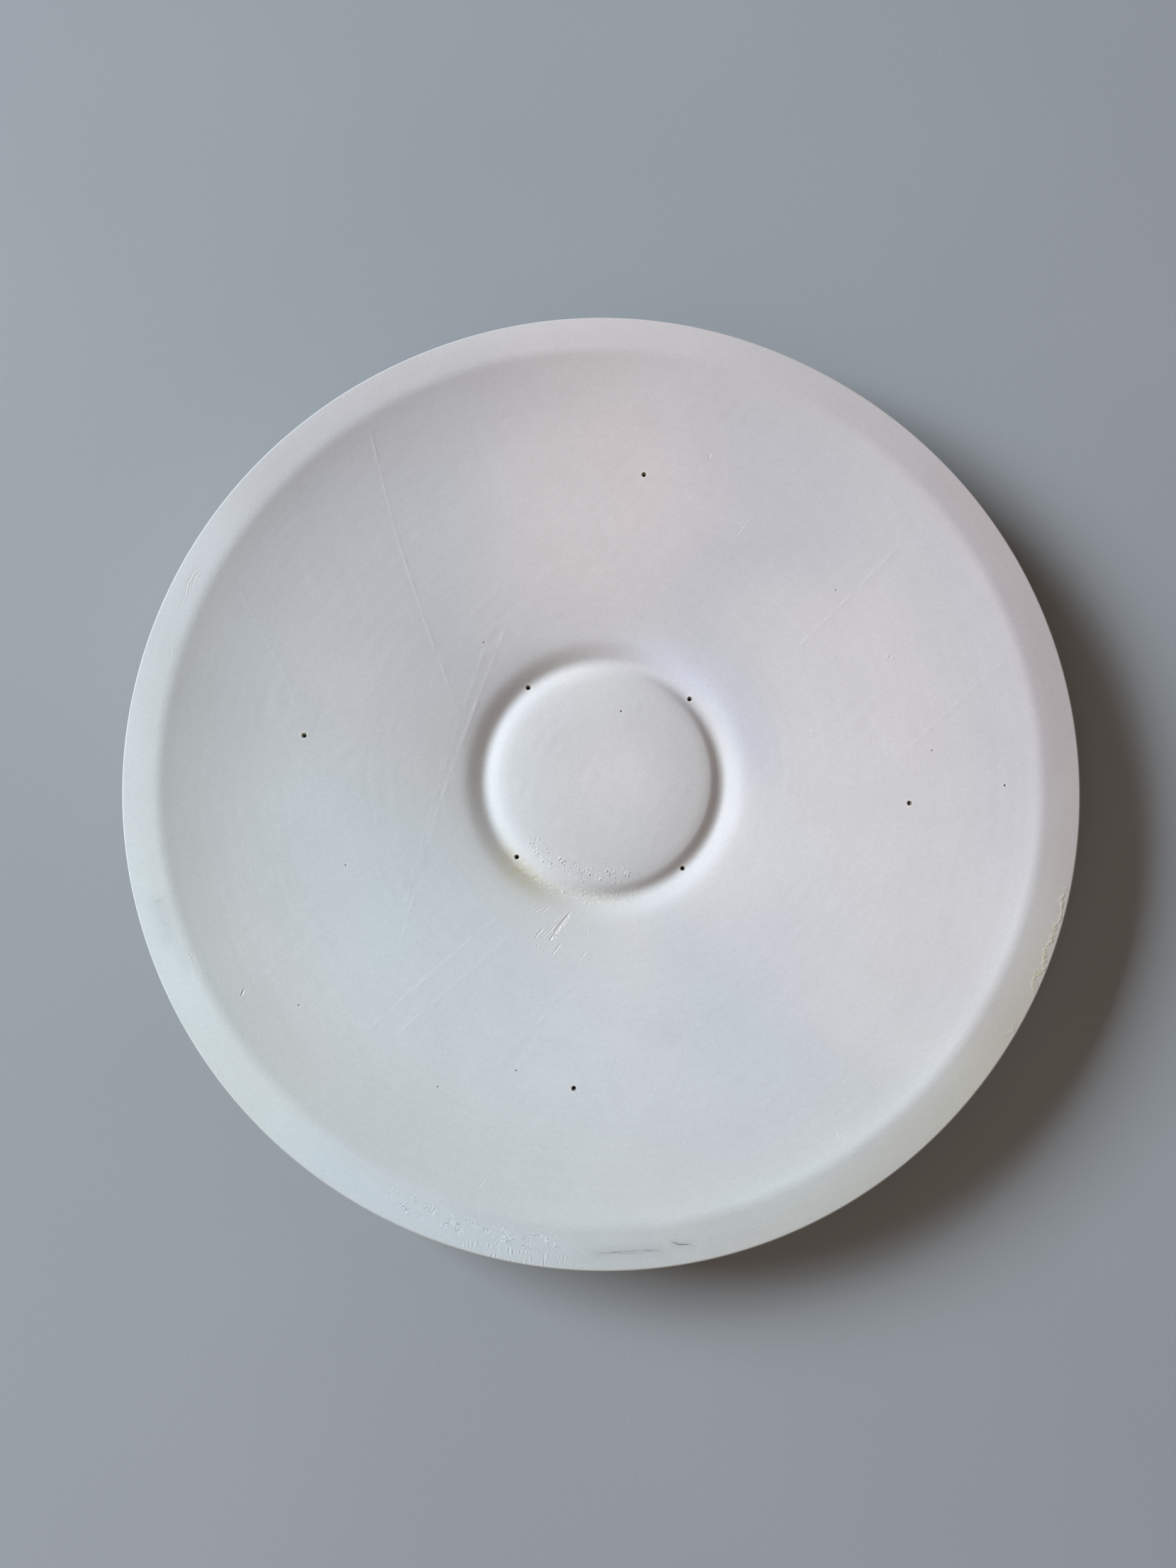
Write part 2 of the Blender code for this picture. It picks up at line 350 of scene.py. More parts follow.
def grained(x, y, direction, spread, length, seed):
    """Random waves whose crests run close to one direction, in degrees."""
    return ripples(x, y, length, seed, 8, math.radians(direction + 90), math.radians(spread))


def arcs(radius, angle, length, seed, count=9):
    """Random waves whose crests run nearly round the middle."""
    random = np.random.default_rng(seed)
    total = np.zeros(np.shape(radius))
    for _ in range(count):
        wave = math.tau / (length * random.uniform(0.7, 1.6))
        turns = random.integers(-4, 5)
        total += np.sin(wave * radius + turns * angle + random.uniform(0, math.tau))
    return total * math.sqrt(2 / count)


def beside(x, y, line):
    """Distance from a line, positive on its left, and the share of its length."""
    spans = [math.dist(a, b) for a, b in zip(line, line[1:])]
    best = np.full(np.shape(x), 1e9)
    side = np.zeros(np.shape(x))
    share = np.zeros(np.shape(x))
    done = 0.0
    for (ax, ay), (bx, by), span in zip(line, line[1:], spans):
        dx, dy = (bx - ax) / span, (by - ay) / span
        t = np.clip((x - ax) * dx + (y - ay) * dy, 0, span)
        ex, ey = x - ax - t * dx, y - ay - t * dy
        away = np.hypot(ex, ey)
        closer = away < best
        best = np.where(closer, away, best)
        side = np.where(closer, np.sign(dx * ey - dy * ex), side)
        share = np.where(closer, (done + t) / sum(spans), share)
        done += span
    return best, side, share


def near(x, y, line, reach):
    """Which points lie in the box round a line."""
    xs, ys = zip(*line)
    inside = (x > min(xs) - reach) & (x < max(xs) + reach)
    return np.nonzero(inside & (y > min(ys) - reach) & (y < max(ys) + reach))[0]


def ends(share, fade=0.12):
    """How a mark fades at both ends of its line."""
    return smooth_step(0.0, fade, share) * smooth_step(0.0, fade, 1 - share)


def stroked(x, y, high, direction, spread, length, seed, mean, swing, size, patch_seed):
    """Brush strokes that run one way and come and go in patches."""
    patches = mean + swing * ripples(x, y, size, patch_seed)
    return high * grained(x, y, direction, spread, length, seed) * patches


def brush(x, y, radius, angle):
    """The faint unevenness of a brushed wash."""
    dish = band(radius, *DISH_BAND)
    pad = 1 - smooth_step(*PAD_FADE, radius)
    patches = 0.55 + 0.45 * ripples(x, y, 55, 11)
    total = ROUND_STROKES * dish * patches * arcs(radius, angle, 10, 12)
    for strokes in DISH_STROKES:
        total += dish * stroked(x, y, *strokes)
    total += pad * stroked(x, y, *PAD_STROKES)
    total += UNEVEN_FINE * (1 - pad) * ripples(x, y, 16, 18)
    total += UNEVEN_WIDE * ripples(x, y, 95, 19)
    return total


def crinkles(x, y, length, sharp, seed):
    """Thin curling ridges."""
    return bell(ripples(x, y, length, seed), sharp)


def ribbons(radius, angle):
    """Loose wash curling up beside the rim's edge: 1 in the middle of a ribbon."""
    degrees = np.degrees(angle)
    along = angle * OUTER_RADIUS
    wander = 0.55 * waver(along, 15.0, 31) + 0.25 * waver(along, 4.0, 32)
    total = np.zeros(np.shape(radius))
    for first, last, middle, wide, strength in RIBBONS:
        reach = band(degrees, (first, first + RIBBON_TAPER), (last - RIBBON_TAPER, last))
        uneven = wide * (1 + 0.25 * waver(along, 6.0, 33))
        total += strength * reach * bell(radius - middle - wander, uneven, 4)
    return total


def edge_harm(x, y, radius, angle):
    """Ribbons, pocks and wrinkles of the rim."""
    loose = ribbons(radius, angle)
    total = RIBBON_LIFT * loose * (0.7 + 0.3 * ripples(x, y, 2.4, 34) + 0.9 * crinkles(x, y, 3.2, 0.35, 35))
    pocked = band(x, *POCK_X) * (y < 0) * band(radius, *POCK_BAND)
    pocked = pocked * smooth_step(0.2, 0.9, ripples(x, y, 8.0, 36))
    total += pocked * (POCK_RIDGE * crinkles(x, y, 2.2, 0.35, 37) - POCK_PIT * crinkles(x, y, 3.0, 0.5, 38))
    hem = band(np.degrees(angle), *WRINKLE_DEGREES) * smooth_step(*WRINKLE_START, radius)
    clump = smooth_step(-0.5, 0.8, ripples(x, y, 6.0, 40))
    total += WRINKLE_HEIGHT * hem * grained(x, y, 92, 16, 2.2, 39) * clump
    return total


def groove_grains(x, y, radius, angle):
    """Granular wash at the lower left of the pad and in the groove."""
    low = band(np.degrees(angle), *GRANULE_DEGREES)
    ledge = band(radius, *LEDGE_BAND) * low * smooth_step(-0.6, 0.6, ripples(x, y, 7, 52))
    bottom = band(radius, *GROOVE_BAND) * low
    grain = np.clip(ripples(x, y, 1.7, 51) - 0.5, 0, 2)
    return grain * (LEDGE_GRANULES * ledge + GROOVE_GRANULES * bottom)


def relief(x, y, radius, angle):
    """How far the wash stands over the turned face."""
    total = brush(x, y, radius, angle) + edge_harm(x, y, radius, angle) + groove_grains(x, y, radius, angle)
    for high, wide, line in LAPS:
        high *= LAP_LIFT
        at = near(x, y, line, 6 * wide)
        away, side, share = beside(x[at], y[at], line)
        uneven = 0.75 + 0.35 * ripples(x[at], y[at], 12, 61)
        step = 0.35 * high * side * (1 - bell(away, wide)) * bell(away, 3 * wide)
        total[at] += (high * bell(away, wide) + step) * uneven * ends(share)
    for high, wide, line in FOLDS:
        at = near(x, y, line, 5 * wide)
        away, side, share = beside(x[at], y[at], line)
        total[at] += high * bell(away, wide) * ends(share, 0.2)
        total[at] -= 0.7 * high * bell(away * side - 1.3 * wide, wide) * ends(share, 0.2)
    for depth, wide, ragged, line in SCRATCHES:
        at = near(x, y, line, 5 * wide + 1)
        away, side, share = beside(x[at], y[at], line)
        swollen = wide * (0.30 + 0.85 * np.sin(math.pi * np.clip(share, 0, 1) ** 0.75))
        rough = ragged * ripples(x[at], y[at], 1.6, 62) * smooth_step(-0.4, 0.4, side * away / wide)
        half = np.maximum(swollen + rough, 0.12)
        bowl = np.clip(1 - (away / half) ** 2, 0, 1) ** 0.8
        streaks = 1 + 0.25 * grained(x[at], y[at], 52, 4, 0.9, 63)
        total[at] -= depth * bowl * streaks * ends(share, 0.06)
        total[at] += 0.22 * depth * bell(away - half - 0.15, 0.22) * ends(share, 0.1)
    for sx, sy, size in SPECKS:
        total -= SPECK_DEPTH * bell(np.hypot(x - sx, y - sy), size, 4)
    for gx, gy, size, high in GRAINS:
        total += high * bell(np.hypot(x - gx, y - gy), size)
    lip, lip_radius, lip_wide = VENT_LIP
    bevel, bevel_wide = VENT_BEVEL
    for number, (vx, vy) in enumerate(VENTS):
        away = np.hypot(x - vx, y - vy)
        uneven = 0.6 + 0.5 * ripples(x, y, 2.4, 70 + number)
        total += lip * uneven * bell(away - lip_radius, lip_wide)
        total -= bevel * bell(away - VENT_MOUTH, bevel_wide)
    return total


def face_height(x, y):
    """The washed face's height over the shelf, marks included."""
    radius = profile_radius(x, y)
    return np.interp(radius, RADII, HEIGHTS) + relief(x, y, radius, np.arctan2(y, x))


def face_normals(x, y):
    """Normals of the washed face, from its slope in X and in Y."""
    small = 0.05
    rise_x = (face_height(x + small, y) - face_height(x - small, y)) / (2 * small)
    rise_y = (face_height(x, y + small) - face_height(x, y - small)) / (2 * small)
    normals = np.stack([-rise_x, -rise_y, np.ones(len(x))], axis=-1)
    return normals / np.linalg.norm(normals, axis=1, keepdims=True)


def vent_ring(number, radius, rough):
    """An uneven ring of points round a vent."""
    angles = np.arange(VENT_SIDES) * math.tau / VENT_SIDES
    random = np.random.default_rng(200 + number)
    uneven = np.ones(VENT_SIDES)
    for waves in (2, 3, 5, 7):
        uneven += rough * random.uniform(0.3, 1.0) * np.cos(waves * angles + random.uniform(0, math.tau))
    vx, vy = VENTS[number]
    return np.stack([vx + radius * uneven * np.cos(angles), vy + radius * uneven * np.sin(angles)], axis=-1)


def grid(low, high, spacing):
    """Staggered points in a box."""
    rows = np.arange(low[1], high[1], spacing * 0.87)
    points = []
    for number, row in enumerate(rows):
        xs = np.arange(low[0] + (number % 2) * spacing / 2, high[0], spacing)
        points.append(np.stack([xs, np.full(len(xs), row)], axis=-1))
    return np.vstack(points)


def strip_points(line, reach, spacing):
    """Staggered points within reach of a line."""
    xs, ys = zip(*line)
    points = grid((min(xs) - reach, min(ys) - reach), (max(xs) + reach, max(ys) + reach), spacing)
    return points[beside(points[:, 0], points[:, 1], line)[0] < reach]


def along_points(line, across, spacing):
    """Rows of points along a line, close together across it."""
    points = []
    for (ax, ay), (bx, by) in zip(line, line[1:]):
        span = math.dist((ax, ay), (bx, by))
        dx, dy = (bx - ax) / span, (by - ay) / span
        for t in np.arange(0, span, spacing):
            for offset in across:
                points.append((ax + dx * t - dy * offset, ay + dy * t + dx * offset))
    return np.array(points)


def arc_points(inner, outer, start, end, spacing):
    """Staggered points between two radii and two angles in degrees."""
    points = []
    for number, radius in enumerate(np.arange(inner, outer, spacing * 0.87)):
        step = spacing / radius
        angles = np.arange(math.radians(start) + (number % 2) * step / 2, math.radians(end), step)
        points.append(np.stack(place(np.full(len(angles), radius), angles), axis=-1))
    return np.vstack(points)


def clear_of_vents(points, reach):
    for vx, vy in VENTS:
        points = points[np.hypot(points[:, 0] - vx, points[:, 1] - vy) > reach]
    return points


def ring_of(radius, count, number):
    """A ring of the turned face; every second ring is turned by half a step."""
    angles = (np.arange(count) + 0.5 * (number % 2)) * math.tau / count
    return np.stack(place(np.full(count, radius), angles), axis=-1)


def ring_points():
    """Rings of points of the turned face, closer together where it turns more."""
    turning = np.degrees(np.abs(np.gradient(SLOPES, RADII)))
    window = int(1.5 / FACE_STEP)
    padded = np.pad(turning, window, mode="edge")
    turning = np.lib.stride_tricks.sliding_window_view(padded, 2 * window + 1).max(axis=1)
    points = [np.array([MIDDLE_POINT])]
    radius = 2.0
    number = 0
    while radius < OUTER_RADIUS - EDGE_ROUND - 0.4:
        step = float(np.clip(2.0 / max(np.interp(radius, RADII, turning), 0.01), 0.5, 2.8))
        count = int(math.tau * radius / float(np.clip(3.0 * step, 1.8, 3.1))) + 6
        points.append(ring_of(radius, count, number))
        radius += step
        number += 1
    return np.vstack(points)


def edge_angles():
    """Angles of the points round the rim's edge, closer together where it is wrinkled."""
    degrees = np.arange(-180, 180, 0.7)
    dense = np.concatenate([np.arange(-118, -92, 0.2), np.arange(-36, -11, 0.2)])
    rough = ((degrees > -118.5) & (degrees < -91.5)) | ((degrees > -36.5) & (degrees < -10.5))
    return np.radians(np.sort(np.concatenate([degrees[~rough], dense])))


def face_points():
    """Points of the washed face: rings, with closer points at its marks."""
    base = ring_points()
    fine = []
    taken = np.zeros(len(base), bool)

    def add(points, inside):
        nonlocal taken
        fine.append(points)
        taken |= inside

    x, y = base[:, 0], base[:, 1]
    radius = profile_radius(x, y)
    degrees = np.degrees(np.arctan2(y, x))
    for _, wide, _, line in SCRATCHES:
        reach = 2 * wide + 1.0
        spacing = 0.32 if wide > 0.6 else 0.27
        add(strip_points(line, reach, spacing), beside(x, y, line)[0] < reach)
    for _, wide, line in FOLDS:
        add(strip_points(line, 3 * wide, 0.3), beside(x, y, line)[0] < 3 * wide)
    for strength, _, _, _, line in PENCIL:
        if strength:
            add(along_points(line, PENCIL_ACROSS, 0.5), beside(x, y, line)[0] < 1.4)
    for _, wide, line in LAPS:
        across = [wide * share for share in LAP_ACROSS]
        add(along_points(line, across, 3.0), beside(x, y, line)[0] < 3.6 * wide)
    for sx, sy, _ in SPECKS:
        add(strip_points(((sx, sy), (sx + 0.01, sy)), 1.3, 0.16), np.hypot(x - sx, y - sy) < 1.3)
    for gx, gy, size, _ in GRAINS:
        spots = strip_points(((gx, gy), (gx + 0.01, gy)), 2.5 * size, 0.35 * size)
        add(spots, np.hypot(x - gx, y - gy) < 2.5 * size)
    for inner, outer, start, end, spacing in FINE_PATCHES:
        inside = (radius > inner) & (radius < outer + 0.5) & (degrees > start) & (degrees < end)
        add(arc_points(inner, outer, start, end, spacing), inside)
    points = np.vstack(fine + [base[~taken]])
    points = points[profile_radius(points[:, 0], points[:, 1]) < LAST_RADIUS]
    points = clear_of_vents(points, VENT_REACH)
    cells = np.floor(points / CLOSEST_POINTS).astype(np.int64)
    keys = cells[:, 0] * 100000 + cells[:, 1]
    first = np.sort(np.unique(keys, return_index=True)[1])
    return points[first]


def triangulate(points, rings):
    """Triangles between points. The first ring of indices is the outline, and the others are holes."""
    edges = []
    for ring in rings:
        edges += [(ring[i], ring[(i + 1) % len(ring)]) for i in range(len(ring))]
    made = delaunay_2d_cdt([Vector(p) for p in points.tolist()], edges, [], 0, 1e-5, True)
    source = np.array([ids[0] for ids in made[3]])
    faces = source[np.array([face for face in made[2] if len(face) == 3])]
    owner = np.full(len(points), -1)
    for number, ring in enumerate(rings[1:]):
        owner[ring] = number
    kept = np.ones(len(faces), bool)
    ids = owner[faces]
    whole = (ids[:, 0] >= 0) & (ids[:, 0] == ids[:, 1]) & (ids[:, 0] == ids[:, 2])
    for index in np.nonzero(whole)[0]:
        ring = rings[1 + ids[index, 0]]
        loop = points[ring]
        middle = loop.mean(axis=0)
        spot = points[faces[index]].mean(axis=0) - middle
        turns = np.arctan2(loop[:, 1] - middle[1], loop[:, 0] - middle[0])
        order = np.argsort(turns)
        sizes = np.hypot(*(loop - middle).T)[order]
        limit = np.interp(np.arctan2(spot[1], spot[0]), turns[order], sizes, period=math.tau)
        kept[index] = np.hypot(*spot) > limit
    faces = faces[kept]
    a, b, c = points[faces[:, 0]], points[faces[:, 1]], points[faces[:, 2]]
    area = (b[:, 0] - a[:, 0]) * (c[:, 1] - a[:, 1]) - (b[:, 1] - a[:, 1]) * (c[:, 0] - a[:, 0])
    faces[area < 0] = faces[area < 0][:, ::-1]
    return faces[np.abs(area) > 1e-9]


def edge_line(depth):
    """Radius and height of points over the rim's rounded edge, sunk by depth."""
    start_slope = float(np.interp(OUTER_RADIUS - EDGE_ROUND, RADII, SLOPES))
    start_height = float(np.interp(OUTER_RADIUS - EDGE_ROUND, RADII, HEIGHTS))
    centre_radius = OUTER_RADIUS - EDGE_ROUND + EDGE_ROUND * math.sin(start_slope)
    centre_height = start_height - EDGE_ROUND * math.cos(start_slope)
    reach = OUTER_RADIUS - centre_radius
    points = []
    first = math.pi / 2 + start_slope
    for step in range(1, EDGE_STEPS + 1):
        angle = first * (1 - step / EDGE_STEPS)
        along = reach + (EDGE_ROUND - reach) * math.sin(angle)
        radius = centre_radius + (along - depth) * math.cos(angle)
        points.append((radius, centre_height + (EDGE_ROUND - depth) * math.sin(angle)))
    return points


def quads(upper, lower):
    """Faces between two rings of the same length."""
    upper, lower = np.asarray(upper), np.asarray(lower)
    return np.stack([upper, lower, np.roll(lower, -1), np.roll(upper, -1)], axis=-1)


def inner_points():
    """Coarse points for the hidden underside of the wash."""
    points = [np.array([MIDDLE_POINT])]
    radius = 6.0
    number = 0
    while radius < OUTER_RADIUS - EDGE_ROUND - 2:
        step = 2.4 if 48 < radius < 80 or 222 < radius < 236 else 6.0
        count = int(math.tau * radius / max(step * 1.5, 4.0)) + 6
        points.append(ring_of(radius, count, number))
        radius += step
        number += 1
    return clear_of_vents(np.vstack(points), VENT_REACH_HIDDEN)


def smear(x, y):
    """Graphite on the wash."""
    total = np.zeros(len(x))
    for strength, wide, haze, haze_wide, line in PENCIL:
        at = near(x, y, line, 3 * haze_wide)
        away, _, share = beside(x[at], y[at], line)
        broken = 0.78 + 0.22 * ripples(x[at], y[at], 9.0, 81)
        drawn = strength * bell(away, wide) * broken * ends(share, 0.1)
        total[at] = np.maximum(total[at], drawn + haze * bell(away, haze_wide))
    return np.clip(total, 0, 1)


def stain(x, y, radius, angle):
    """Yellowing: strongest in the groove's lower left, weak at the lower right of the rim."""
    degrees = np.degrees(angle)
    trail_radius, trail_wide = TRAIL_RADIUS
    total = STAIN_TRAIL * band(degrees, *TRAIL_DEGREES) * bell(radius - trail_radius, trail_wide)
    for strength, middle, wide, far, deep in STAINS:
        total += strength * bell(degrees - middle, wide) * bell(radius - far, deep)
    total += STAIN_RIM * bell(degrees + 34, 26) * smooth_step(226, 240, radius)
    mottle = 0.9 + 0.08 * ripples(x, y, 7, 91) + 0.04 * ripples(x, y, 1.4, 92)
    return np.clip(total * mottle + STAIN_RIBBONS * ribbons(radius, angle), 0, 1)


def fresh_wash_and_vent_highlight(x, y):
    """Clean white wash in the scratches, and a painted highlight: a whiter ring round each vent's mouth."""
    total = np.zeros(len(x))
    for _, wide, _, line in SCRATCHES:
        at = near(x, y, line, 4 * wide)
        away, _, share = beside(x[at], y[at], line)
        total[at] = np.maximum(total[at], bell(away, 0.9 * wide) * ends(share, 0.15))
    # Painted highlight: a whiter ring round each vent's mouth.
    for vx, vy in VENTS:
        away = np.hypot(x - vx, y - vy)
        total = np.maximum(total, 0.6 * bell(away - 2.0, 0.45))
    return total


def tint_and_painted_light(x, y, radius, angle):
    """Cloudy tints round the dish and on the pad, as shares of red, green and blue: partly the wash's own
    tint, partly painted light and shade.
    """
    turn = np.degrees(angle) + 5 * ripples(x, y, 110, 111)
    percent = np.outer(1 - smooth_step(0, PAD_TINT_RADIUS, radius), PAD_TINT)
    for middle, wide, far, deep, change in TINT_AND_LIGHT_CLOUDS:
        away = (turn - middle + 180) % 360 - 180
        percent += np.outer(np.exp(-((away / wide) ** 2) - ((radius - far) / deep) ** 2), change)
    return np.exp(percent / 100)


def painted_hole_shade(x, y):
    """Painted shade: the insides of the pin holes and of the vents, coloured near black."""
    total = np.zeros(len(x))
    for sx, sy, size in SPECKS:
        total = np.maximum(total, bell(np.hypot(x - sx, y - sy), 0.95 * size, 4))
    for vx, vy in VENTS:
        total = np.maximum(total, 0.9 * bell(np.hypot(x - vx, y - vy), 1.05 * VENT_MOUTH, 8))
    return total


def linked(name, data):
    made = bpy.data.objects.new(name, data)
    bpy.context.scene.collection.objects.link(made)
    return made


def mesh_object(name, verts, faces):
    """An object from points in millimetres."""
    mesh = bpy.data.meshes.new(name)
    mesh.from_pydata([tuple(v) for v in (np.asarray(verts) * MM).tolist()], [], faces)
    made = linked(name, mesh)
    mesh.shade_smooth()
    return made


def wash_skin():
    """The wash as one closed skin: face, rounded edge, ragged skirt, underside and vent throats."""
    angles = edge_angles()
    turns = len(angles)
    outline = np.stack(place(np.full(turns, OUTER_RADIUS - EDGE_ROUND), angles), axis=-1)
    plane = [outline]
    rings = [np.arange(turns)]
    count = turns
    for number in range(len(VENTS)):
        plane.append(vent_ring(number, VENT_MOUTH, 0.05))
        rings.append(np.arange(count, count + VENT_SIDES))
        count += VENT_SIDES
        for radius in VENT_RINGS:
            plane.append(vent_ring(number, radius, 0.02))
            count += VENT_SIDES
    plane.append(face_points())
    plane = np.vstack(plane)
    x, y = plane[:, 0], plane[:, 1]
    top_faces = triangulate(plane, rings)
    top_z = face_height(x, y)
    verts = [np.column_stack([x, y, top_z])]
    count = len(plane)
    faces = [top_faces]
    other = []

    def ring(points):
        nonlocal count
        verts.append(points)
        count += len(points)
        return np.arange(count - len(points), count)

    def skirt(radius, level):
        """One more ring round the object, joined to the last one."""
        nonlocal previous
        px, py = place(np.broadcast_to(radius, turns), angles)
        current = ring(np.column_stack([px, py, np.broadcast_to(level, turns)]))
        other.append(quads(previous, current))
        previous = current

    lifted = top_z[:turns] - float(np.interp(OUTER_RADIUS - EDGE_ROUND, RADII, HEIGHTS))
    along = angles * OUTER_RADIUS
    hem = RIM_EDGE_HEIGHT - WASH_SKIRT + 0.8 * waver(along, 38, 101)
    hem += 0.35 * waver(along, 9, 102) + 0.12 * waver(along, 2.5, 103)
    previous = rings[0]
    edge = edge_line(0.0)
    for step, (radius, level) in enumerate(edge):
        skirt(radius, level + lifted * (1 - (step + 1) / len(edge)))
    top = edge[-1][1]
    for step in range(1, WALL_STEPS + 1):
        share = step / WALL_STEPS
        level = top + (hem - top) * share
        brushed = 0.05 * ripples(along, 6 * level, 8, 104) - 0.05 * np.abs(ripples(along, level, 30, 105))
        thin = 0.32 * smooth_step(0.80, 1.0, share)
        skirt(OUTER_RADIUS + np.clip(brushed, -0.15, 0.05) - thin, level)
    for level in (hem + 0.1, top):
        skirt(OUTER_RADIUS - WASH, level)
    for radius, level in edge_line(WASH)[-2::-1]:
        skirt(radius, level)

    inner = [np.column_stack([verts[-1][:, 0], verts[-1][:, 1]])]
    hidden_rings = [np.arange(turns)]
    inner_count = turns
    for number in range(len(VENTS)):
        inner.append(vent_ring(number, VENT_THROAT, 0.02))
        hidden_rings.append(np.arange(inner_count, inner_count + VENT_SIDES))
        inner.append(vent_ring(number, 2.2, 0.0))
        inner_count += 2 * VENT_SIDES
    inner.append(inner_points())
    inner = np.vstack(inner)
    hidden_faces = triangulate(inner, hidden_rings)[:, ::-1]
    inner_radius = profile_radius(inner[:, 0], inner[:, 1])
    slope = np.interp(inner_radius, RADII, SLOPES)
    inner_z = np.interp(inner_radius, RADII, HEIGHTS) - WASH / np.cos(slope)
    hidden = ring(np.column_stack([inner[turns:, 0], inner[turns:, 1], inner_z[turns:]]))
    ids = np.concatenate([previous, hidden])
    faces.append(ids[hidden_faces])
    deep = []
    for number in range(len(VENTS)):
        mouth = rings[1 + number]
        bottom = ids[hidden_rings[1 + number]]
        throat = vent_ring(number, VENT_THROAT, 0.02)
        level = inner_z[hidden_rings[1 + number]] + 0.12
        middle = ring(np.column_stack([throat, level]))
        other.append(quads(mouth, middle)[:, ::-1])
        other.append(quads(middle, bottom)[:, ::-1])
        deep += [middle, bottom]
    face_list = np.vstack(faces).tolist() + np.vstack(other).tolist()
    piece = mesh_object("wash_skin", np.vstack(verts), face_list)

    mesh = piece.data
    loops = np.empty(len(mesh.loops), np.int32)
    mesh.loops.foreach_get("vertex_index", loops)
    normals = np.zeros((len(loops), 3))
    shown = 3 * len(top_faces)
    normals[:shown] = face_normals(x, y)[loops[:shown]]
    mesh.normals_split_custom_set(normals.tolist())

    radius = profile_radius(x, y)
    angle = np.arctan2(y, x)
    marks = {
        "stain": stain(x, y, radius, angle),
        "smear": smear(x, y),
        "painted_hole_shade": painted_hole_shade(x, y),
        "fresh_wash_and_vent_highlight": fresh_wash_and_vent_highlight(x, y),
    }
    for name, values in marks.items():
        amounts = np.zeros(count)
        amounts[: len(values)] = values
        # Painted shade all down the vent throats.
        if name == "painted_hole_shade":
            amounts[np.concatenate(deep)] = 1
        layer = mesh.attributes.new(name, "FLOAT", "POINT")
        layer.data.foreach_set("value", amounts.astype(np.float32))
    # Cloudy tints per point, partly the wash's own and partly painted light and shade.
    colors = np.ones((count, 4), np.float32)
    colors[: len(x), :3] = tint_and_painted_light(x, y, radius, angle)
    layer = mesh.attributes.new("tint_and_painted_light", "FLOAT_COLOR", "POINT")
    layer.data.foreach_set("color", colors.ravel())
    return piece


def turned(name, outline, turns):
    """A closed turned mesh from an outline that starts and ends on the axis."""
    rings = np.array(outline)
    angles = np.arange(turns) * math.tau / turns
    verts = [np.array([[0.0, 0.0, rings[0][1]]])]
    for radius, level in rings[1:-1]:
        x, y = place(np.full(turns, radius), angles)
        verts.append(np.column_stack([x, y, np.full(turns, level)]))
    verts.append(np.array([[0.0, 0.0, rings[-1][1]]]))
    first = 1 + np.arange(turns)
    faces = [(0, int(j), int(k)) for j, k in zip(first, np.roll(first, -1))]
    for number in range(len(rings) - 3):
        upper = first + number * turns
        faces += quads(upper, upper + turns).tolist()
    final = first + (len(rings) - 3) * turns
    last = 1 + (len(rings) - 2) * turns
    faces += [(int(j), last, int(k)) for j, k in zip(final, np.roll(final, -1))]
    return mesh_object(name, np.vstack(verts), faces)


def rod(radius, length, sides, matrix):
    """A cutter for a round hole."""
    shape = bmesh.new()
    wide = radius * MM
    deep = length * MM
    bmesh.ops.create_cone(shape, cap_ends=True, segments=sides, radius1=wide, radius2=wide, depth=deep)
    shape.transform(matrix)
    mesh = bpy.data.meshes.new("tool")
    shape.to_mesh(mesh)
    shape.free()
    return linked("tool", mesh)


def under(radius):
    """Height of the casting's plain underside."""
    return float(np.interp(radius, RADII, HEIGHTS)) - WALL


